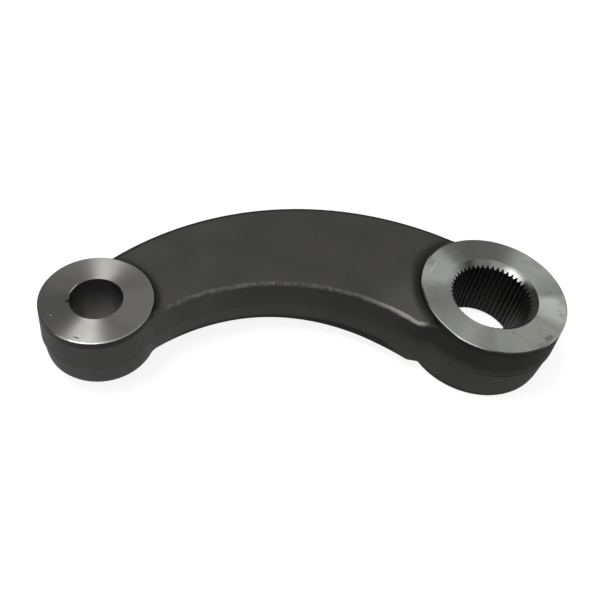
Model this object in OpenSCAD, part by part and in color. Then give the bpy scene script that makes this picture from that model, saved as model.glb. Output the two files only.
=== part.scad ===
// Pitman arm: a drop-forged steering arm in one piece. The large boss is serrated for the
// steering gear's sector shaft, the small boss has a taper for a ball stud, and a flat,
// bowed arm joins them. Both boss tops are faced in one plane; everything else is forged.
//
// Frame: the origin is on the sector shaft's axis, on the underside of the large boss.
// +Z is up, the ball-stud boss lies along -X and the arm bows towards +Y.

/* [Layout] */
// Distance between the two bore axes
centre_distance = 204; // [190:1:220]
// Height of the faced boss tops above the large boss's underside
face_height = 40; // [38:0.5:44]
// How far the arm's top lies below the faced boss tops
face_step = 2.7; // [2:0.1:4]
// Thickness of the arm
arm_thickness = 29; // [25:0.5:31]

/* [Sector shaft boss] */
// Diameter of the faced ring on the large boss
shaft_face_d = 78.5; // [74:0.5:84]
// Radius on the upper rim of the large boss
shaft_rim_r = 0.5; // [0.3:0.1:1.5]
// Radius on the lower rim of the large boss
shaft_foot_r = 2; // [1:0.25:3]

/* [Serrated bore] */
// Number of teeth round the bore
teeth = 48; // [36:1:54]
// Diameter over the lands between the grooves
serration_minor_d = 42.2; // [40:0.1:43]
// Depth of a groove
groove_depth = 1.3; // [0.8:0.1:1.6]
// Width of a groove's flat root
groove_root_w = 0.4; // [0.2:0.05:0.6]
// Included angle of a groove
groove_angle = 60; // [50:1:66]
// Diameter at which the lead-in chamfer meets the faced ring
lead_in_d = 49.2; // [47:0.1:51]
// Diameter at which the lower chamfer meets the underside
run_out_d = 46.6; // [46:0.1:48]

/* [Ball stud boss] */
// Diameter of the faced ring on the small boss
stud_face_d = 54; // [50:0.5:58]
// Height of the small boss
stud_boss_h = 34.2; // [32:0.2:36]
// Radius on the upper rim of the small boss
stud_rim_r = 0.4; // [0.3:0.1:1]
// Radius on the lower rim of the small boss
stud_foot_r = 4.5; // [3:0.25:5.5]
// Large end of the taper, on the underside
taper_large_d = 30; // [26:0.5:32]
// Length over which the taper changes by one in diameter
taper_run = 8; // [7:0.5:10]

/* [Arm outline] */
// Radius of the bowed back edge
back_r = 155.2; // [148:0.2:164]
// How far the back edge passes outside the sector shaft's axis
back_past_shaft = 26; // [24:0.1:28]
// How far the back edge passes outside the ball stud's axis
back_past_stud = 17.6; // [16:0.1:20]
// Radius of the hollow front edge
front_r = 103.8; // [98:0.2:112]
// How far the front edge passes from the sector shaft's axis
front_off_shaft = 45.3; // [44:0.1:47]
// How far the front edge passes from the ball stud's axis
front_off_stud = 24.8; // [23:0.1:26]
// Radius of the round at the end of the front edge, beside the large boss
nose_r = 10; // [8:0.5:12]
// Distance of that round's centre from the sector shaft's axis
nose_off = 42.5; // [41:0.5:44]

/* [Forging] */
// Height of the parting line above the large boss's underside
parting_height = 21; // [19:0.5:23]
// Draft angle of the forged walls, in degrees
draft = 3; // [1:0.5:5]
// Mismatch of the two die halves at the parting line
die_shift = 0.4; // [0.2:0.05:0.6]
// Radius on the arm's upper and lower edges
edge_r = 2; // [1:0.25:3]
// Radius of the corners where the arm runs into the small boss, seen from above
stud_corner_r = 18; // [12:0.5:22]
// Radius of the corner where the arm's back runs into the large boss, seen from above
shaft_corner_r = 24; // [18:0.5:30]
// Radius of the corner where the nose runs into the large boss, seen from above
nose_corner_r = 30; // [24:0.5:40]
// Radius of the coves where a boss rises from the arm
cove_r = 6; // [5:0.25:7]

/* [Hidden] */
$fn = 128;

// Lap between faces that blend, so that none only just touch
lap = 0.2;
// How far the coves keep from the rounded edges of the arm at its face
cove_margin = 0.5;
// Length that a cutter runs past the face it opens
past = 1;
// Steps that stand for a quarter round on a profile
round_steps = 5;
// Depth by which blends reach into the body behind them
root = 10;

arm_top = face_height - face_step;
arm_bottom = arm_top - arm_thickness;
stud_bottom = face_height - stud_boss_h;
shaft_boss_r = shaft_face_d / 2 + shaft_rim_r + inset(face_height);
stud_boss_r = stud_face_d / 2 + stud_rim_r + inset(face_height);

shaft_at = [0, 0];
stud_at = [-centre_distance, 0];
back_at = meet(stud_at, back_r - back_past_stud, shaft_at, back_r - back_past_shaft, -1);
front_at = meet(stud_at, front_r + front_off_stud, shaft_at, front_r + front_off_shaft, -1);
nose_at = meet(shaft_at, nose_off, front_at, front_r + nose_r - lap, -1);

// Centres of the corner rounds, each touching a boss and the wall beside it
stud_front_at = meet(stud_at, stud_boss_r + stud_corner_r, front_at, front_r - stud_corner_r, 1);
stud_back_at = meet(stud_at, stud_boss_r + stud_corner_r, back_at, back_r + stud_corner_r, 1);
nose_corner_at = meet(shaft_at, shaft_boss_r + nose_corner_r, nose_at, nose_r + nose_corner_r, 1);
shaft_back_at = meet(shaft_at, shaft_boss_r + shaft_corner_r, back_at, back_r + shaft_corner_r, -1);

// The point at distance d from a in the direction of b
function towards(a, b, d) = a + d * (b - a) / norm(b - a);

// Where circles about a and b cross, on the left (side 1) or right (side -1) of a to b
function meet(a, ra, b, rb, side) =
    let (d = norm(b - a), u = (b - a) / d, run = (ra * ra - rb * rb + d * d) / (2 * d))
    a + run * u + side * sqrt(ra * ra - run * run) * [-u.y, u.x];

// How far a forged wall stands back at height z from its place at the parting line
function inset(z) = abs(z - parting_height) * tan(draft) + (z < parting_height ? die_shift : 0);

// A forged wall from z0 up to z1, as pairs of inset and height, with a round at each end
function wall(z0, z1, foot, rim) = concat(
    [for (i = [0 : round_steps]) let (a = 90 * i / round_steps)
        [inset(z0 + foot) + foot * (1 - sin(a)), z0 + foot * (1 - cos(a))]],
    [[die_shift, parting_height], [0, parting_height]],
    [for (i = [round_steps : -1 : 0]) let (a = 90 * i / round_steps)
        [inset(z1 - rim) + rim * (1 - sin(a)), z1 - rim * (1 - cos(a))]]);

// A round body whose wall has radius r at the parting line
module turned(at, r, z0, z1, foot, rim) {
    side = [for (p = wall(z0, z1, foot, rim)) [r - p[0], p[1]]];
    translate(at) rotate_extrude() polygon(concat([[0, z0]], side, [[0, z1]]));
}

// A cutter that leaves the arm with a hollow wall of radius r at the parting line
module hollow(at, r) {
    side = [for (p = wall(arm_bottom, arm_top, edge_r, edge_r)) [r + p[0], p[1]]];
    foot = side[0];
    head = side[len(side) - 1];
    translate(at) rotate_extrude()
        polygon(concat([[0, arm_bottom - past], [foot.x, arm_bottom - past]], side,
            [[head.x, arm_top + past], [0, arm_top + past]]));
}

// The wedge of the arm between the two bosses, seen from above
module between_bosses() {
    polygon([front_at, towards(front_at, nose_at, 3 * back_r), towards(front_at, stud_at, 3 * back_r)]);
}

// The bowed arm with the round nose at its thick end
module arm() {
    difference() {
        union() {
            intersection() {
                turned(back_at, back_r, arm_bottom, arm_top, edge_r, edge_r);
                translate([0, 0, arm_bottom - past])
                    linear_extrude(arm_thickness + 2 * past) between_bosses();
            }
            turned(nose_at, nose_r, arm_bottom, arm_top, edge_r, edge_r);
        }
        hollow(front_at, front_r);
    }
}

// The web that rounds a corner of radius r between a boss and the point wall_at in the arm
module corner(boss_at, round_at, wall_at, r) {
    difference() {
        translate([0, 0, arm_bottom]) linear_extrude(arm_thickness)
            polygon([boss_at, round_at, wall_at]);
        hollow(round_at, r + lap);
    }
}

// The corners between the arm and the bosses
module corners() {
    corner(stud_at, stud_front_at, towards(front_at, stud_front_at, front_r + root), stud_corner_r);
    corner(stud_at, stud_back_at, towards(back_at, stud_back_at, back_r - root), stud_corner_r);
    corner(shaft_at, nose_corner_at, nose_at, nose_corner_r);
    corner(shaft_at, shaft_back_at, towards(back_at, shaft_back_at, back_r - root), shaft_corner_r);
}

// The cove round a boss, in section: rise is the step up from the arm to the boss's face
module cove_section(boss_r, rise) {
    reach = sqrt(cove_r * cove_r - pow(max(0, cove_r - rise), 2));
    difference() {
        translate([boss_r - root, -past]) square([root + reach, past + min(rise, cove_r)]);
        translate([boss_r + reach, cove_r - lap]) circle(cove_r);
    }
}

// A cove that rises from the arm's face, round a boss on the side of the point far_at. It leans back
// at 45 degrees from the back edge and from the hollow walls, given as pairs of centre and radius:
// those of the front edge, the front corner and the back corner. At the face it keeps clear of them.
module cove(boss_at, boss_r, rise, clear, far_at, hollows) {
    high = rise + past;
    difference() {
        intersection() {
            translate(boss_at) rotate_extrude() cove_section(boss_r, rise);
            translate([0, 0, -past]) linear_extrude(past + high)
                polygon([boss_at, hollows[1][0], far_at, hollows[2][0]]);
            translate([back_at.x, back_at.y, -past])
                cylinder(h = past + high, r1 = back_r - clear + past, r2 = back_r - clear - high);
        }
        for (h = hollows) translate([h[0].x, h[0].y, -past])
            cylinder(h = past + high, r1 = h[1] + clear - past, r2 = h[1] + clear + high);
    }
}

// The coves on top of the arm round both bosses, and under it round the large boss
module coves() {
    upper_clear = inset(arm_top - edge_r) + edge_r + cove_margin;
    lower_clear = inset(arm_bottom + edge_r) + edge_r + cove_margin;
    upper_rise = face_step - lap;
    lower_rise = arm_bottom - shaft_foot_r;
    by_shaft = [[front_at, front_r], [nose_corner_at, nose_corner_r + lap],
                [shaft_back_at, shaft_corner_r + lap]];
    by_stud = [[front_at, front_r], [stud_front_at, stud_corner_r + lap],
               [stud_back_at, stud_corner_r + lap]];
    translate([0, 0, arm_top]) {
        cove(shaft_at, shaft_face_d / 2 + shaft_rim_r, upper_rise, upper_clear, stud_at, by_shaft);
        cove(stud_at, stud_face_d / 2 + stud_rim_r, upper_rise, upper_clear, shaft_at, by_stud);
    }
    translate([0, 0, arm_bottom]) mirror([0, 0, 1])
        cove(shaft_at, shaft_boss_r - inset(arm_bottom), lower_rise, lower_clear, stud_at, by_shaft);
}

// The serrations: a star whose points are the groove roots, seen from above
module groove_star() {
    minor_r = serration_minor_d / 2;
    pitch = 360 / teeth;
    foot_r = minor_r - lap;
    root_half = groove_root_w / 2;
    foot_half = root_half + (groove_depth + lap) * tan(groove_angle / 2);
    root_a = atan(root_half / (minor_r + groove_depth));
    foot_a = atan(foot_half / foot_r);
    polygon([for (i = [0 : teeth - 1]) let (a = (i + 0.5) * pitch)
        for (p = [[foot_r, -foot_a], [minor_r + groove_depth, -root_a],
                  [minor_r + groove_depth, root_a], [foot_r, foot_a]])
            p[0] * [cos(a + p[1]), sin(a + p[1])]]);
}

// The serrated bore with its two chamfers
module serrated_bore() {
    minor_r = serration_minor_d / 2;
    top_run = lead_in_d / 2 - minor_r + past;
    foot_run = run_out_d / 2 - minor_r + past;
    translate([0, 0, -past]) cylinder(h = face_height + 2 * past, r = minor_r);
    translate([0, 0, -past]) linear_extrude(face_height + 2 * past) groove_star();
    translate([0, 0, face_height + past - top_run])
        cylinder(h = top_run, r1 = minor_r, r2 = minor_r + top_run);
    translate([0, 0, -past]) cylinder(h = foot_run, r1 = minor_r + foot_run, r2 = minor_r);
}

// The ball stud's taper, widening downwards
module stud_taper() {
    flare = past / taper_run / 2;
    small_r = taper_large_d / 2 - stud_boss_h / taper_run / 2;
    translate([stud_at.x, stud_at.y, stud_bottom - past])
        cylinder(h = stud_boss_h + 2 * past, r1 = taper_large_d / 2 + flare, r2 = small_r - flare);
}

module pitman_arm() {
    color([0.27, 0.27, 0.25]) difference() {
        union() {
            arm();
            corners();
            turned(shaft_at, shaft_boss_r, 0, face_height, shaft_foot_r, shaft_rim_r);
            turned(stud_at, stud_boss_r, stud_bottom, face_height, stud_foot_r, stud_rim_r);
            coves();
        }
        serrated_bore();
        stud_taper();
    }
}

pitman_arm();
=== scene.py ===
"""Looks of a drop-forged pitman arm: dark forged skin, faced boss rings, cut bores and a worn ridge.

Everything is in metres in the part's own frame: the origin is on the sector shaft's axis at the
underside of the large boss, +Z is up, the ball stud boss lies along -X and the arm bows to +Y.
"""
import math

import bmesh
import bpy
import numpy as np
from mathutils import Matrix, Vector


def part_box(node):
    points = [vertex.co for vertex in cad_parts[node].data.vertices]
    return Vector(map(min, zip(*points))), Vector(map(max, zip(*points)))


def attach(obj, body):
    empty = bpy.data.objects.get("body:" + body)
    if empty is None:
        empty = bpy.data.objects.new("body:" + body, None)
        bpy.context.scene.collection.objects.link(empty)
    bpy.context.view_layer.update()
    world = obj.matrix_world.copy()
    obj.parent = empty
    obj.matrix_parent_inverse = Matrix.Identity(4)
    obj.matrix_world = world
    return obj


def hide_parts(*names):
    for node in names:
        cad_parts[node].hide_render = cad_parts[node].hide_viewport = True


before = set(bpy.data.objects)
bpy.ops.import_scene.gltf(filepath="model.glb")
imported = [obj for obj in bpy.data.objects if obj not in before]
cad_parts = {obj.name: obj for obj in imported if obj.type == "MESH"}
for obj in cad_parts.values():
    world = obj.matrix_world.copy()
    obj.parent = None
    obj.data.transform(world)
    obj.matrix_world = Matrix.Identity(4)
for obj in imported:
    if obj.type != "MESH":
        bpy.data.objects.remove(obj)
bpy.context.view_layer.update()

# Sizes of the part, in metres
ARM = "pitman_arm"
FACE_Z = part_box(ARM)[1].z
ARM_TOP_Z = FACE_Z - 0.0027
ARM_BOTTOM_Z = ARM_TOP_Z - 0.029
STUD_FOOT_Z = FACE_Z - 0.0342
PARTING_Z = 0.021
CENTRE_DISTANCE = 0.204
SHAFT_AT = Vector((0.0, 0.0, FACE_Z))
STUD_AT = Vector((-CENTRE_DISTANCE, 0.0, FACE_Z))
SHAFT_FACE_R = 0.03925
STUD_FACE_R = 0.027
RIM_R = 0.0005
LEAD_IN_R = 0.0246
LEAD_IN_DEPTH = 0.0035
STUD_BORE_R = 0.0151
FRONT_R = 0.1038
FRONT_OFF_SHAFT = 0.0453
FRONT_OFF_STUD = 0.0248
BACK_R = 0.1552
BACK_PAST_SHAFT = 0.026
BACK_PAST_STUD = 0.0176
NOSE_R = 0.010
# The nose's distance from the sector shaft's axis, in the solid and as shown, and how far from the
# nose's centre the shift between the two is felt
SOLID_NOSE_OFF = 0.0425
NOSE_OFF = 0.041
NOSE_SHIFT_REACH = 0.030
# How far the arm's underside sinks beside the large boss, and the radius at which it starts to
SINK = 0.0038
SINK_FROM_R = 0.135
# The large boss's wall, the strip beside it over which the nose's shift sets in, and its foot's round
SHAFT_BOSS_R = 0.0412
SHAFT_BOSS_STRIP = 0.005
SHAFT_FOOT_R = 0.002
# How far the middle of the arm's rounded front edge lies behind the wall at the parting line
EDGE_BACK = 0.0013

# The photograph's camera: place, directions and focal length for a frame 600 pixels wide
CAMERA_AT = Vector((-0.1633, -0.2328, 0.2734 + FACE_Z))
CAMERA_RIGHT = Vector((0.9865, -0.1167, 0.1146))
CAMERA_UP = Vector((0.0154, 0.7637, 0.6454))
FOCAL_PIXELS = 718.0
FRAME_PIXELS = 600.0
SENSOR_MM = 36.0

scene = bpy.context.scene
scene.view_settings.view_transform = "Standard"


def crossing(a, a_r, b, b_r):
    """Where circles about a and b cross, on the right of the way from a to b, seen from above."""
    way = (b - a).to_2d()
    gap = way.length
    run = (a_r ** 2 - b_r ** 2 + gap ** 2) / (2 * gap)
    off = math.sqrt(a_r ** 2 - run ** 2)
    along = way / gap
    spot = a.to_2d() + run * along + off * Vector((along.y, -along.x))
    return Vector((spot.x, spot.y, ARM_TOP_Z))


FRONT_AT = crossing(STUD_AT, FRONT_R + FRONT_OFF_STUD, SHAFT_AT, FRONT_R + FRONT_OFF_SHAFT)
BACK_AT = crossing(STUD_AT, BACK_R - BACK_PAST_STUD, SHAFT_AT, BACK_R - BACK_PAST_SHAFT)
SOLID_NOSE_AT = crossing(SHAFT_AT, SOLID_NOSE_OFF, FRONT_AT, FRONT_R + NOSE_R)
NOSE_AT = crossing(SHAFT_AT, NOSE_OFF, FRONT_AT, FRONT_R + NOSE_R)


def add_camera():
    """The camera at the photograph's viewing angle."""
    data = bpy.data.cameras.new("camera")
    data.sensor_width = SENSOR_MM
    data.lens = FOCAL_PIXELS / FRAME_PIXELS * SENSOR_MM
    data.clip_start = 0.01
    camera = bpy.data.objects.new("camera", data)
    right = CAMERA_RIGHT.normalized()
    back = right.cross(CAMERA_UP).normalized()
    up = back.cross(right)
    turn = Matrix((right, up, back)).transposed()
    camera.matrix_world = Matrix.Translation(CAMERA_AT) @ turn.to_4x4()
    scene.collection.objects.link(camera)
    scene.camera = camera


class Wires:
    """Adds nodes to one tree and links them."""

    def __init__(self, tree):
        self.tree = tree

    def node(self, kind, settings=None, **inputs):
        """A node with its settings, and with each named input set or linked."""
        made = self.tree.nodes.new(kind)
        for name, value in (settings or {}).items():
            setattr(made, name, value)
        for name, value in inputs.items():
            self.feed(made, name.replace("_", " "), value)
        return made

    def feed(self, node, name, value):
        """Sets an input given by name or number, or links it when the value is a socket."""
        slot = node.inputs[name]
        if isinstance(value, bpy.types.NodeSocket):
            self.tree.links.new(value, slot)
        else:
            slot.default_value = value

    def math(self, operation, first, second=0.0):
        """One math node on two values."""
        made = self.node("ShaderNodeMath", {"operation": operation})
        self.feed(made, 0, first)
        self.feed(made, 1, second)
        return made.outputs[0]

    def product(self, *values):
        """All the values multiplied together."""
        total = values[0]
        for value in values[1:]:
            total = self.math("MULTIPLY", total, value)
        return total

    def vector(self, operation, first, second=(0.0, 0.0, 0.0)):
        """One vector math node."""
        made = self.node("ShaderNodeVectorMath", {"operation": operation})
        self.feed(made, 0, first)
        self.feed(made, 1, second)
        return made.outputs["Value"] if operation in ("LENGTH", "DOT_PRODUCT") else made.outputs[0]

    def ramp(self, value, low, high, to_low=0.0, to_high=1.0):
        """A smooth step of a value between low and high."""
        made = self.node("ShaderNodeMapRange", {"interpolation_type": "SMOOTHSTEP"}, Value=value)
        ends = {"From Min": low, "From Max": high, "To Min": to_low, "To Max": to_high}
        for name, number in ends.items():
            self.feed(made, name, number)
        return made.outputs[0]

    def band(self, value, middle, half, soft):
        """One where a value lies within half of the middle, fading out over soft."""
        away = self.math("ABSOLUTE", self.math("SUBTRACT", value, middle))
        return self.ramp(away, half + soft, half)

    def noise(self, at, scale, detail=4.0, roughness=0.55):
        """Noise about 0.5 at a scale in patches a metre."""
        made = self.node("ShaderNodeTexNoise", Vector=at, Scale=scale, Detail=detail, Roughness=roughness)
        return made.outputs[0]

    def mix(self, share, first, second, blend="MIX"):
        """A colour between two colours, or one colour blended on another."""
        made = self.node("ShaderNodeMix", {"data_type": "RGBA", "blend_type": blend})
        self.feed(made, 0, share)
        self.feed(made, 6, first)
        self.feed(made, 7, second)
        return made.outputs[2]

    def layers(self, colour, *laid):
        """A colour with others laid on it in turn, each given as its mask and its colour."""
        for mask, other in laid:
            colour = self.mix(mask, colour, other)
        return colour

    def bump(self, height, strength, distance):
        """A normal raised by a height."""
        return self.node("ShaderNodeBump", Height=height, Strength=strength, Distance=distance).outputs[0]

    def sector(self, unit, azimuth, half):
        """One where a level unit vector points to an azimuth, fading out about half degrees away."""
        towards = (math.cos(math.radians(azimuth)), math.sin(math.radians(azimuth)), 0.0)
        facing = self.vector("DOT_PRODUCT", unit, towards)
        return self.ramp(facing, math.cos(math.radians(1.6 * half)), math.cos(math.radians(0.4 * half)))

    def sectors(self, unit, colour, sheens, share=1.0):
        """A colour with others laid on it, each given as an azimuth, a half width and the colour there."""
        for azimuth, half, other in sheens:
            colour = self.mix(self.product(self.sector(unit, azimuth, half), share), colour, other)
        return colour

    def turned(self, vector, angle):
        """A vector turned about +Z by an angle in radians."""
        made = self.node("ShaderNodeVectorRotate", {"rotation_type": "Z_AXIS"}, Vector=vector)
        self.feed(made, "Angle", angle)
        return made.outputs[0]

    def flat(self, position):
        """A position without its height."""
        parts = self.node("ShaderNodeSeparateXYZ", Vector=position).outputs
        return self.node("ShaderNodeCombineXYZ", X=parts[0], Y=parts[1]).outputs[0]

    def height_of(self, position):
        """The height of a position."""
        return self.node("ShaderNodeSeparateXYZ", Vector=position).outputs[2]


def new_material(name):
    """A material with its tree's wires and its Principled BSDF."""
    material = bpy.data.materials.new(name)
    material.use_nodes = True
    return material, Wires(material.node_tree), material.node_tree.nodes["Principled BSDF"]


def object_coords(wires, centre=(0.0, 0.0, 0.0)):
    """Object coordinates measured from a centre."""
    coords = wires.node("ShaderNodeTexCoord").outputs["Object"]
    mapping = wires.node("ShaderNodeMapping", {"vector_type": "POINT"}, Vector=coords)
    mapping.inputs["Location"].default_value = tuple(-c for c in centre)
    return mapping.outputs[0]


def new_group(name, inputs, outputs):
    """An empty shader node group with its sockets, its wires, and its input and output nodes."""
    group = bpy.data.node_groups.new(name, "ShaderNodeTree")
    for label, kind in inputs:
        group.interface.new_socket(name=label, in_out="INPUT", socket_type=kind)
    for label in outputs:
        group.interface.new_socket(name=label, in_out="OUTPUT", socket_type="NodeSocketFloat")
    wires = Wires(group)
    return group, wires, wires.node("NodeGroupInput").outputs, wires.node("NodeGroupOutput")


def grain_group():
    """Metal grain at a position: broad patches, fine speckle and a height of shallow dents."""
    group, wires, given, end = new_group(
        "metal grain", [("Position", "NodeSocketVector")], ["Patches", "Speckle", "Height"])
    patches = wires.noise(given["Position"], 32.0, 5.0, 0.6)
    speckle = wires.noise(given["Position"], 900.0, 3.0, 0.6)
    dents = wires.noise(given["Position"], 260.0, 3.0, 0.5)
    height = wires.math("ADD", wires.product(speckle, 0.35), wires.product(dents, 0.65))
    wires.feed(end, "Patches", patches)
    wires.feed(end, "Speckle", speckle)
    wires.feed(end, "Height", height)
    return group


def mark_group():
    """A mark on a surface: an oval about a centre, turned by an angle, with a ragged edge."""
    group, wires, given, end = new_group(
        "surface mark",
        [("Position", "NodeSocketVector"), ("Centre", "NodeSocketVector"),
         ("Half Size", "NodeSocketVector"), ("Angle", "NodeSocketFloat"),
         ("Raggedness", "NodeSocketFloat")],
        ["Mask"])
    offset = wires.vector("SUBTRACT", given["Position"], given["Centre"])
    offset = wires.turned(offset, given["Angle"])
    reach = wires.vector("LENGTH", wires.vector("DIVIDE", offset, given["Half Size"]))
    rough = wires.math("SUBTRACT", wires.noise(given["Position"], 1400.0, 3.0, 0.6), 0.5)
    ragged = wires.math("ADD", reach, wires.product(rough, given["Raggedness"]))
    wires.feed(end, "Mask", wires.ramp(ragged, 1.0, 0.55))
    return group


GRAIN = grain_group()
MARK = mark_group()


def grain_at(wires, position):
    """The outputs of the metal grain at a position."""
    return wires.node("ShaderNodeGroup", {"node_tree": GRAIN}, Position=position).outputs


def mark_at(wires, position, centre, half_size, angle=0.0, raggedness=1.0):
    """The mask of one mark: centre and half sizes in metres, angle in degrees from +X."""
    made = wires.node("ShaderNodeGroup", {"node_tree": MARK}, Position=position, Raggedness=raggedness)
    wires.feed(made, "Centre", (centre[0], centre[1], 0.0))
    wires.feed(made, "Half Size", (half_size[0], half_size[1], 0.01))
    wires.feed(made, "Angle", math.radians(-angle))
    return made.outputs["Mask"]


def ridge_wear(wires):
    """Wear along the arm's front upper edge: a ragged line on the front arc and round the nose."""
    here = object_coords(wires)
    from_front = object_coords(wires, FRONT_AT)
    from_nose = object_coords(wires, NOSE_AT)
    past_arc = wires.math("SUBTRACT", wires.vector("LENGTH", wires.flat(from_front)), FRONT_R + EDGE_BACK)
    in_nose = wires.math("SUBTRACT", NOSE_R - EDGE_BACK, wires.vector("LENGTH", wires.flat(from_nose)))
    to_nose = (NOSE_AT - FRONT_AT).to_2d().normalized()
    beyond = wires.vector("DOT_PRODUCT", from_nose, (to_nose.y, -to_nose.x, 0.0))
    on_nose = wires.math("GREATER_THAN", beyond, 0.0)
    depth = wires.math("ADD", wires.product(past_arc, wires.math("SUBTRACT", 1.0, on_nose)),
                       wires.product(in_nose, on_nose))
    wander = wires.math("SUBTRACT", wires.noise(here, 150.0, 5.0, 0.65), 0.5)
    away = wires.math("ABSOLUTE", wires.math("ADD", depth, wires.product(wander, 0.0026)))
    line = wires.ramp(away, 0.0012, 0.0002)
    level = wires.ramp(wires.height_of(from_front), -0.0026, -0.0012)
    along = wires.vector("DOT_PRODUCT", from_front, (1.0, 0.0, 0.0))
    left_end = wires.ramp(along, -0.074, -0.045)
    right_end = wires.ramp(beyond, 0.007, 0.003)
    broken = wires.ramp(wires.noise(here, 330.0, 5.0, 0.7), 0.38, 0.62, 0.15, 0.7)
    whole = wires.ramp(along, 0.030, 0.065)
    body = wires.math("MAXIMUM", broken, whole)
    return wires.product(line, level, left_end, right_end, body)


# Tones of the forged skin: on top, on the walls above and below the parting line, and in small places. The
# wall tones are painted light and shade: the walls darker than the top, lighter below the parting line
# like a reflection of the floor, and darker or lighter by the ends and the bosses.
TOP = (0.038, 0.038, 0.034, 1)
TOP_PATCH = (0.047, 0.046, 0.041, 1)
TOP_BY_NOSE = (0.070, 0.069, 0.062, 1)
UPPER = (0.022, 0.0215, 0.020, 1)
UPPER_PATCH = (0.026, 0.0255, 0.024, 1)
UPPER_THICK_END = (0.015, 0.0142, 0.0125, 1)
UPPER_THIN_END = (0.036, 0.0352, 0.0325, 1)
UPPER_BY_SHAFT = (0.0135, 0.0128, 0.012, 1)
UPPER_BY_STUD = (0.046, 0.0462, 0.0435, 1)
UPPER_STUD_SHADE = (0.020, 0.0195, 0.018, 1)
LOWER = (0.027, 0.0265, 0.0255, 1)
LOWER_PATCH = (0.031, 0.0305, 0.029, 1)
LOWER_THICK_END = (0.022, 0.0212, 0.020, 1)
LOWER_BY_SHAFT = (0.041, 0.0403, 0.0385, 1)
LOWER_BY_STUD = (0.041, 0.0405, 0.0395, 1)
LOWER_STUD_SHADE = (0.024, 0.0235, 0.023, 1)
SPECK = (0.065, 0.064, 0.058, 1)
EDGE_SHADE = (0.003, 0.003, 0.003, 1)
COVE_SHADE = (0.006, 0.006, 0.005, 1)
SEAM_SHADOW = (0.001, 0.001, 0.001, 1)
BARE = (0.09, 0.09, 0.08, 1)
BARE_SPECK = (0.22, 0.215, 0.20, 1)
BARE_BY_NOSE = (0.32, 0.315, 0.29, 1)


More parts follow.
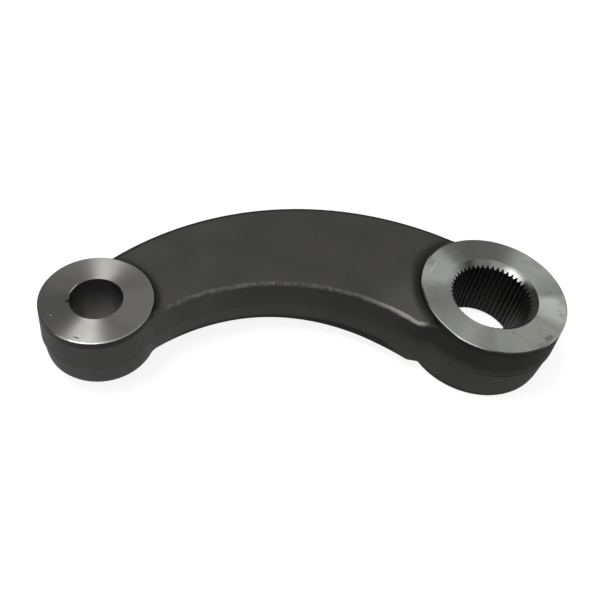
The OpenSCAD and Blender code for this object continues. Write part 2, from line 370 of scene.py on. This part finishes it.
def forged_material():
    """Dark forged skin: olive grey on top, painted shade and painted reflection on the walls, painted
    shade in coves and along edges, and worn on the ridge.
    """
    material, wires, shader = new_material("forged_steel")
    here = object_coords(wires)
    grain = grain_at(wires, here)
    height = wires.height_of(here)
    normal = wires.node("ShaderNodeNewGeometry").outputs["Normal"]
    facing_up = wires.ramp(wires.height_of(normal), 0.25, 0.75)
    side = wires.math("SUBTRACT", 1.0, facing_up)

    # Zones of the forging
    along = wires.vector("DOT_PRODUCT", here, (1.0, 0.0, 0.0))
    out_from_shaft = wires.flat(here)
    out_from_stud = wires.flat(object_coords(wires, STUD_AT))
    from_shaft = wires.vector("LENGTH", out_from_shaft)
    from_stud = wires.vector("LENGTH", out_from_stud)
    from_nose = wires.vector("LENGTH", wires.flat(object_coords(wires, NOSE_AT)))
    from_back = wires.vector("LENGTH", wires.flat(object_coords(wires, BACK_AT)))
    thick_end = wires.ramp(along, -0.110, -0.065)
    thin_end = wires.ramp(along, -0.128, -0.150)
    by_nose = wires.ramp(from_nose, 0.034, 0.004)
    by_shaft = wires.ramp(from_shaft, SHAFT_FACE_R + 0.020, SHAFT_FACE_R + 0.002)
    by_stud = wires.ramp(from_stud, STUD_FACE_R + 0.016, STUD_FACE_R + 0.004)
    below = wires.ramp(height, PARTING_Z + 0.007, PARTING_Z - 0.001)
    patch = wires.ramp(grain["Patches"], 0.3, 0.7)

    # Skin on the top and the walls; the walls' tones are painted shade and painted reflection, with a
    # painted shade on one side of the small boss
    top = wires.layers(TOP, (patch, TOP_PATCH), (by_nose, TOP_BY_NOSE))
    stud_shade = wires.sector(wires.vector("NORMALIZE", out_from_stud), 208.0, 34.0)
    upper_stud = wires.mix(stud_shade, UPPER_BY_STUD, UPPER_STUD_SHADE)
    upper_wall = wires.layers(
        UPPER, (patch, UPPER_PATCH), (thick_end, UPPER_THICK_END), (thin_end, UPPER_THIN_END),
        (by_shaft, UPPER_BY_SHAFT), (by_stud, upper_stud))
    lower_stud = wires.mix(stud_shade, LOWER_BY_STUD, LOWER_STUD_SHADE)
    lower_wall = wires.layers(
        LOWER, (patch, LOWER_PATCH), (thick_end, LOWER_THICK_END), (by_shaft, LOWER_BY_SHAFT),
        (by_stud, lower_stud))
    skin = wires.mix(facing_up, wires.mix(below, upper_wall, lower_wall), top)
    speckle = wires.ramp(grain["Speckle"], 0.56, 0.78, 0.0, 0.3)

    # Painted shade along the lower edges and the back edge: a dark line where a contact shadow and a
    # shaded rounded edge would fall
    shaft_foot = wires.product(by_shaft, -ARM_BOTTOM_Z)
    stud_foot = wires.product(by_stud, STUD_FOOT_Z - ARM_BOTTOM_Z)
    foot = wires.math("ADD", shaft_foot, stud_foot)
    above_foot = wires.math("SUBTRACT", wires.math("SUBTRACT", height, ARM_BOTTOM_Z), foot)
    low = wires.product(wires.ramp(above_foot, 0.0046, 0.0020), side)
    back = wires.product(wires.ramp(from_back, BACK_R - 0.0042, BACK_R - 0.0026), facing_up)
    scale = wires.product(wires.math("MAXIMUM", low, back), 0.8)

    # Painted shade in the coves round the bosses, narrower where the arm runs into the large one
    swept = wires.sector(wires.vector("NORMALIZE", out_from_shaft), 185.0, 30.0)
    cove_shade_edge = wires.math("SUBTRACT", SHAFT_FACE_R + 0.0095, wires.product(swept, 0.004))
    shaft_cove_shade = wires.ramp(from_shaft, cove_shade_edge, SHAFT_FACE_R + 0.0015)
    stud_cove_shade = wires.ramp(from_stud, STUD_FACE_R + 0.006, STUD_FACE_R + 0.001)
    on_top = wires.ramp(height, ARM_TOP_Z - 0.002, ARM_TOP_Z - 0.0005)
    cove_shade = wires.product(wires.math("MAXIMUM", shaft_cove_shade, stud_cove_shade), on_top, 0.93)

    # Painted shadow under the ledge of the dies' seam on the large boss
    seam_wander = wires.product(wires.math("SUBTRACT", wires.noise(here, 90.0, 3.0), 0.5), 0.0008)
    seam_shadow = wires.band(wires.math("ADD", height, seam_wander), PARTING_Z, 0.00035, 0.0008)
    seam_shadow = wires.product(seam_shadow, side, wires.ramp(along, -0.022, 0.004))

    wear = ridge_wear(wires)
    bare = wires.mix(grain["Speckle"], BARE, BARE_SPECK)
    bare = wires.mix(wires.product(by_nose, 0.85), bare, BARE_BY_NOSE)
    skin = wires.layers(skin, (speckle, SPECK), (scale, EDGE_SHADE), (cove_shade, COVE_SHADE), (seam_shadow, SEAM_SHADOW), (wear, bare))
    wires.feed(shader, "Base Color", skin)
    dull = wires.math("MAXIMUM", wires.product(by_shaft, side), scale)
    satin = wires.ramp(grain["Patches"], 0.25, 0.75, 0.50, 0.62)
    wires.feed(shader, "Roughness", wires.math("ADD", satin, wires.product(dull, 0.2)))
    shader.inputs["Specular IOR Level"].default_value = 0.2
    relief = wires.math("ADD", grain["Height"], wires.product(wear, 0.5))
    wires.feed(shader, "Normal", wires.bump(relief, 0.35, 0.0004))
    return material


def faced_material(name, centre, rim_r, lap, colours, blotch, stain, roughness, pull, sheens, rims, marks):
    """Lathe-faced steel: fine rings about a boss's axis, clouds of two colours and a radial highlight.

    Lap is the azimuth, half width and depth of the dark border that laps in over the rim.
    size of the clouds in patches a metre, stain the strength of oily stains and pull the anisotropy.
    Each sheen, a painted highlight or painted shade, and each stretch of the rim with a painted highlight,
    is an azimuth, a half width and a colour, and each mark is a centre, half sizes, an angle and a colour.
    """
    material, wires, shader = new_material(name)
    here = object_coords(wires, centre)
    radial = wires.flat(here)
    radius = wires.vector("LENGTH", radial)
    across = wires.node("ShaderNodeCombineXYZ", X=radius).outputs[0]
    rings = wires.noise(across, 2600.0, 2.0, 0.6)
    clouds = wires.noise(here, blotch, 4.0, 0.55)
    tint = wires.mix(wires.ramp(clouds, 0.36, 0.64), colours[0], colours[1])
    unit = wires.vector("NORMALIZE", radial)
    wave = wires.product(wires.math("SUBTRACT", wires.noise(here, 120.0, 3.0), 0.5), 0.12)
    bent = wires.vector("NORMALIZE", wires.turned(unit, wave))
    # Painted highlights and painted shade laid in sectors over the turned face
    tint = wires.sectors(bent, tint, sheens, 0.9)
    tint = wires.mix(wires.ramp(rings, 0.35, 0.75, 0.0, 0.25), tint, (0.16, 0.16, 0.15, 1))
    stains = wires.noise(here, 1.6 * blotch, 5.0, 0.62)
    tint = wires.mix(wires.ramp(stains, 0.50, 0.66, 0.0, stain), tint, (0.24, 0.245, 0.20, 1))
    # The rim's bright stretches are painted highlights where the rounded rim catches the light
    rim = wires.sectors(unit, (0.08, 0.08, 0.075, 1), rims)
    lap_azimuth, lap_half, lap_depth = lap
    lapped = wires.product(wires.sector(unit, lap_azimuth, lap_half), lap_depth)
    past_rim = wires.math("ADD", wires.math("SUBTRACT", radius, rim_r), lapped)
    tint = wires.mix(wires.ramp(past_rim, -0.0002, 0.0001), tint, rim)
    tint = wires.mix(wires.ramp(past_rim, 0.0006, 0.0009), tint, (0.012, 0.012, 0.011, 1))
    for spot, half_size, angle, colour in marks:
        tint = wires.mix(mark_at(wires, here, spot, half_size, angle, 1.5), tint, colour)
    wires.feed(shader, "Base Color", tint)
    wires.feed(shader, "Roughness", wires.ramp(clouds, 0.3, 0.7, roughness, roughness + 0.12))
    shader.inputs["Metallic"].default_value = 1.0
    shader.inputs["Anisotropic"].default_value = pull
    wires.feed(shader, "Tangent", unit)
    wires.feed(shader, "Normal", wires.bump(rings, 0.12, 0.0001))
    return material


def cut_material(name, centre, dark, light, low, high, sheens):
    """Oily cut steel in a bore: one colour below a low height, another above a high one, the lighter lower
    part painted light coming in from below and the darker upper part painted shade.

    Each sheen is an azimuth, a half width and a colour for the lower part there, a painted light.
    """
    material, wires, shader = new_material(name)
    here = object_coords(wires)
    grain = grain_at(wires, here)
    unit = wires.vector("NORMALIZE", wires.flat(object_coords(wires, centre)))
    light = wires.sectors(unit, light, sheens)
    tint = wires.mix(wires.ramp(wires.height_of(here), low, high), light, dark)
    oil = wires.ramp(grain["Patches"], 0.35, 0.65, 0.0, 0.5)
    tint = wires.mix(oil, tint, (0.03, 0.03, 0.028, 1), "SCREEN")
    wires.feed(shader, "Base Color", tint)
    wires.feed(shader, "Roughness", wires.ramp(grain["Patches"], 0.3, 0.7, 0.5, 0.6))
    shader.inputs["Specular IOR Level"].default_value = 0.1
    wires.feed(shader, "Normal", wires.bump(grain["Height"], 0.15, 0.0003))
    return material


def lead_in_material(sheens):
    """The cut chamfer above the serrations: dull, with sectors of painted highlight and painted shade, the
    brightest fading towards the ring.

    Each sheen is an azimuth, a half width and a colour.
    """
    material, wires, shader = new_material("cut_lead_in")
    here = object_coords(wires)
    radial = wires.flat(here)
    radius = wires.vector("LENGTH", radial)
    unit = wires.vector("NORMALIZE", radial)
    tint = wires.mix(wires.noise(here, 300.0), (0.05, 0.049, 0.046, 1), (0.09, 0.088, 0.082, 1))
    tint = wires.sectors(unit, tint, sheens)
    # The painted highlight fades out towards the ring over the chamfer's outer part
    outer = wires.ramp(radius, LEAD_IN_R - 0.0020, LEAD_IN_R - 0.0003)
    fading = wires.product(outer, wires.sector(unit, 44.0, 26.0))
    wires.feed(shader, "Base Color", wires.mix(fading, tint, (0.36, 0.365, 0.34, 1)))
    shader.inputs["Metallic"].default_value = 0.6
    shader.inputs["Roughness"].default_value = 0.3
    return material


def merged_copy(node_name, name):
    """A copy of a node's mesh with its loose triangles joined, as an object of its own."""
    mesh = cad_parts[node_name].data.copy()
    mesh.name = name
    work = bmesh.new()
    work.from_mesh(mesh)
    bmesh.ops.remove_doubles(work, verts=work.verts, dist=1e-6)
    work.to_mesh(mesh)
    work.free()
    if mesh.has_custom_normals:
        mesh.attributes.remove(mesh.attributes["custom_normal"])
    piece = bpy.data.objects.new(name, mesh)
    scene.collection.objects.link(piece)
    return piece


def smooth_step(share):
    """A smooth step from 0 to 1 of an array of shares."""
    share = np.clip(share, 0.0, 1.0)
    return share * share * (3.0 - 2.0 * share)


def shape_thick_end(mesh):
    """Sinks the arm's underside towards the large boss and takes its nose further round the boss.

    A point sinks by a smooth step of its nearness to the boss, times a share that rises evenly from
    none at the parting line to all at the arm's lower edge and falls to none at the boss's foot. A
    point by the nose moves as the nose does, times a smooth step of its nearness to the nose and one
    of its distance from the boss's wall.
    """
    spots = np.empty(len(mesh.vertices) * 3)
    mesh.vertices.foreach_get("co", spots)
    spots = spots.reshape(-1, 3)
    from_shaft = np.hypot(spots[:, 0], spots[:, 1])
    from_nose = np.hypot(spots[:, 0] - SOLID_NOSE_AT.x, spots[:, 1] - SOLID_NOSE_AT.y)
    share = np.interp(spots[:, 2], [SHAFT_FOOT_R, ARM_BOTTOM_Z, PARTING_Z], [0.0, 1.0, 0.0])
    near_boss = smooth_step((SINK_FROM_R - from_shaft) / (SINK_FROM_R - SHAFT_BOSS_R))
    near_nose = smooth_step((NOSE_SHIFT_REACH - from_nose) / (NOSE_SHIFT_REACH - NOSE_R))
    clear_of_boss = smooth_step((from_shaft - SHAFT_BOSS_R) / SHAFT_BOSS_STRIP)
    spots[:, 2] -= SINK * near_boss * share * (from_shaft > LEAD_IN_R)
    spots[:, :2] += np.outer(near_nose * clear_of_boss, (NOSE_AT - SOLID_NOSE_AT).to_2d())
    mesh.vertices.foreach_set("co", spots.ravel())
    mesh.update()


def face_values(mesh, name):
    """A three-part value of every face, as an array of rows."""
    values = np.empty(len(mesh.polygons) * 3)
    mesh.polygons.foreach_get(name, values)
    return values.reshape(-1, 3)


def dress_arm(finishes):
    """The forging: a merged copy of the solid with its thick end shaped, each face in its own finish.

    A face is told apart by its distance from the two bore axes, its height and its normal.
    """
    piece = merged_copy(ARM, "forged_arm")
    mesh = piece.data
    shape_thick_end(mesh)
    centre = face_values(mesh, "center")
    upward = face_values(mesh, "normal")[:, 2]
    from_shaft = np.hypot(centre[:, 0], centre[:, 1])
    from_stud = np.hypot(centre[:, 0] + CENTRE_DISTANCE, centre[:, 1])
    near_face = (centre[:, 2] > FACE_Z - RIM_R) & (upward > 0.1)
    lead_in = (from_shaft < LEAD_IN_R) & (upward > 0.5) & (centre[:, 2] > FACE_Z - LEAD_IN_DEPTH)
    rules = {
        "forged": np.ones(len(centre), bool),
        "shaft_ring": near_face & (from_shaft < SHAFT_FACE_R + RIM_R),
        "stud_ring": near_face & (from_stud < STUD_FACE_R + RIM_R),
        "serrations": from_shaft < LEAD_IN_R,
        "taper": from_stud < STUD_BORE_R,
        "lead_in": lead_in,
    }
    chosen = np.zeros(len(centre), np.int32)
    mesh.materials.clear()
    for index, (name, rule) in enumerate(rules.items()):
        mesh.materials.append(finishes[name])
        chosen[rule] = index
    mesh.polygons.foreach_set("material_index", chosen)
    mesh.polygons.foreach_set("use_smooth", np.ones(len(centre), bool))
    mesh.set_sharp_from_angle(angle=math.radians(32))
    even = piece.modifiers.new("even", "WEIGHTED_NORMAL")
    even.keep_sharp = True
    even.weight = 100
    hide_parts(ARM)
    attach(piece, "root")


def seen_directly(wires):
    """One on rays from the camera and on those that metal or glass sends on."""
    path = wires.node("ShaderNodeLightPath").outputs
    seen = wires.math("MAXIMUM", path["Is Camera Ray"], path["Is Glossy Ray"])
    return wires.math("MAXIMUM", seen, path["Is Transmission Ray"])


def add_floor():
    """A plain pale floor that shows white to the camera and keeps a faint shadow."""
    size = 6.0
    corners = [(x * size, y * size, -0.0002) for x, y in ((-1, -1), (1, -1), (1, 1), (-1, 1))]
    mesh = bpy.data.meshes.new("floor")
    mesh.from_pydata(corners, [], [(0, 1, 2, 3)])
    floor = bpy.data.objects.new("floor", mesh)
    scene.collection.objects.link(floor)
    material = bpy.data.materials.new("floor")
    material.use_nodes = True
    material.node_tree.nodes.clear()
    wires = Wires(material.node_tree)
    plain = wires.node("ShaderNodeBsdfDiffuse", Color=(0.8, 0.8, 0.8, 1)).outputs[0]
    shaded = wires.node("ShaderNodeBsdfDiffuse", Color=(0.22, 0.22, 0.22, 1)).outputs[0]
    glow = wires.node("ShaderNodeEmission", Color=(1, 1, 1, 1), Strength=0.87).outputs[0]
    white = wires.node("ShaderNodeAddShader")
    wires.feed(white, 0, shaded)
    wires.feed(white, 1, glow)
    shown = wires.node("ShaderNodeMixShader", Fac=seen_directly(wires))
    wires.feed(shown, 1, plain)
    wires.feed(shown, 2, white.outputs[0])
    wires.node("ShaderNodeOutputMaterial", Surface=shown.outputs[0])
    mesh.materials.append(material)


def add_lamp(name, at, aim, size, power):
    """A square soft lamp at a place, aimed at a point."""
    data = bpy.data.lights.new(name, "AREA")
    data.shape = "SQUARE"
    data.size = size
    data.energy = power
    lamp = bpy.data.objects.new(name, data)
    lamp.location = at
    lamp.rotation_euler = (Vector(aim) - Vector(at)).to_track_quat("-Z", "Y").to_euler()
    scene.collection.objects.link(lamp)


def add_world():
    """An even pale surrounding light, white where the camera sees it."""
    world = bpy.data.worlds.new("world")
    scene.world = world
    world.use_nodes = True
    world.node_tree.nodes.clear()
    wires = Wires(world.node_tree)
    camera_ray = wires.node("ShaderNodeLightPath").outputs["Is Camera Ray"]
    strength = wires.ramp(camera_ray, 0.0, 1.0, 0.4, 1.0)
    background = wires.node("ShaderNodeBackground", Color=(1, 1, 1, 1), Strength=strength)
    wires.node("ShaderNodeOutputWorld", Surface=background.outputs[0])


DENT = (0.05, 0.05, 0.046, 1)
SMUDGE = (0.34, 0.34, 0.32, 1)
SCRATCH = (0.85, 0.85, 0.82, 1)
# Marks on the faced rings, measured from each boss's axis
SHAFT_MARKS = [
    ((0.0207, -0.0307), (0.0036, 0.0018), 30.0, SMUDGE),
    ((0.0350, -0.0178), (0.0022, 0.0005), -30.0, SCRATCH),
    ((-0.0285, 0.0190), (0.0062, 0.0006), 52.0, SCRATCH),
]
STUD_MARKS = [
    ((-0.0133, -0.0014), (0.0014, 0.0011), 0.0, DENT),
    # A painted glint along the upper edge of the taper bore, in the scratch colour
    ((-0.0113, 0.0068), (0.0042, 0.0004), 60.0, SCRATCH),
    ((-0.0074, -0.0235), (0.0022, 0.0005), -25.0, DENT),
    ((-0.0202, -0.0099), (0.0005, 0.0004), 0.0, SCRATCH),
]
# Sectors of the turned faces with painted highlights and painted shade, standing in for the room's
# reflection, by azimuth from +X
SHAFT_SHEENS = [
    (86.0, 28.0, (0.19, 0.19, 0.18, 1)),
    (203.0, 22.0, (0.27, 0.275, 0.25, 1)),
    (243.0, 10.0, (0.40, 0.405, 0.38, 1)),
    (146.0, 16.0, (0.74, 0.76, 0.71, 1)),
    (296.0, 24.0, (0.64, 0.65, 0.60, 1)),
    (338.0, 13.0, (0.95, 0.97, 0.92, 1)),
]
STUD_SHEENS = [
    (200.0, 30.0, (0.18, 0.178, 0.167, 1)),
    (345.0, 28.0, (0.37, 0.365, 0.345, 1)),
]
# Stretches of the rings' rims with a painted highlight, where the rounded rim catches the light
RIM_HIGHLIGHT = (0.62, 0.62, 0.60, 1)
SHAFT_RIMS = [
    (155.0, 14.0, RIM_HIGHLIGHT),
    (222.0, 22.0, RIM_HIGHLIGHT),
    (318.0, 18.0, RIM_HIGHLIGHT),
]
STUD_RIMS = [
    (20.0, 30.0, (0.40, 0.40, 0.38, 1)),
    (320.0, 34.0, (0.45, 0.45, 0.43, 1)),
    (266.0, 26.0, RIM_HIGHLIGHT),
]
# Painted highlights and painted shade in sectors of the chamfer above the serrations
LEAD_IN_SHEENS = [
    (-15.0, 34.0, (0.040, 0.039, 0.037, 1)),
    (185.0, 50.0, (0.72, 0.73, 0.69, 1)),
    (82.0, 16.0, (0.24, 0.24, 0.23, 1)),
    (60.0, 12.0, (0.42, 0.42, 0.40, 1)),
    (40.0, 13.0, (0.90, 0.90, 0.88, 1)),
]
# Painted light on the lower part of the bores, by azimuth
SERRATION_SHEENS = [
    (-35.0, 40.0, (0.17, 0.16, 0.15, 1)),
]
TAPER_SHEENS = [
    (97.0, 28.0, (0.36, 0.35, 0.335, 1)),
]

# Where and how deep the dark border laps over the rings' rims
SHAFT_LAP = (180.0, 36.0, 0.0013)
STUD_LAP = (0.0, 36.0, 0.0)

add_camera()
add_world()
add_floor()
add_lamp("overhead", at=(-0.46, 0.05, 1.2), aim=(-0.1, 0.0, 0.0), size=0.4, power=9.0)
add_lamp("left", at=(-0.51, -0.325, 0.70), aim=(-0.05, 0.0, 0.03), size=0.2, power=0.4)
dress_arm({
    "forged": forged_material(),
    "shaft_ring": faced_material(
        "faced_shaft_ring", SHAFT_AT, SHAFT_FACE_R, SHAFT_LAP,
        colours=((0.54, 0.56, 0.52, 1), (0.40, 0.41, 0.38, 1)), blotch=46.0, stain=0.32,
        roughness=0.42, pull=0.5, sheens=SHAFT_SHEENS, rims=SHAFT_RIMS, marks=SHAFT_MARKS),
    "stud_ring": faced_material(
        "faced_stud_ring", STUD_AT, STUD_FACE_R, STUD_LAP,
        colours=((0.31, 0.305, 0.29, 1), (0.26, 0.255, 0.24, 1)), blotch=70.0, stain=0.15,
        roughness=0.28, pull=0.88, sheens=STUD_SHEENS, rims=STUD_RIMS, marks=STUD_MARKS),
    "serrations": cut_material(
        "cut_serrations", SHAFT_AT, dark=(0.004, 0.004, 0.004, 1), light=(0.040, 0.039, 0.038, 1),
        low=0.004, high=0.028, sheens=SERRATION_SHEENS),
    "taper": cut_material(
        "cut_taper", STUD_AT, dark=(0.010, 0.010, 0.009, 1), light=(0.045, 0.044, 0.041, 1),
        low=0.010, high=0.034, sheens=TAPER_SHEENS),
    "lead_in": lead_in_material(LEAD_IN_SHEENS),
})
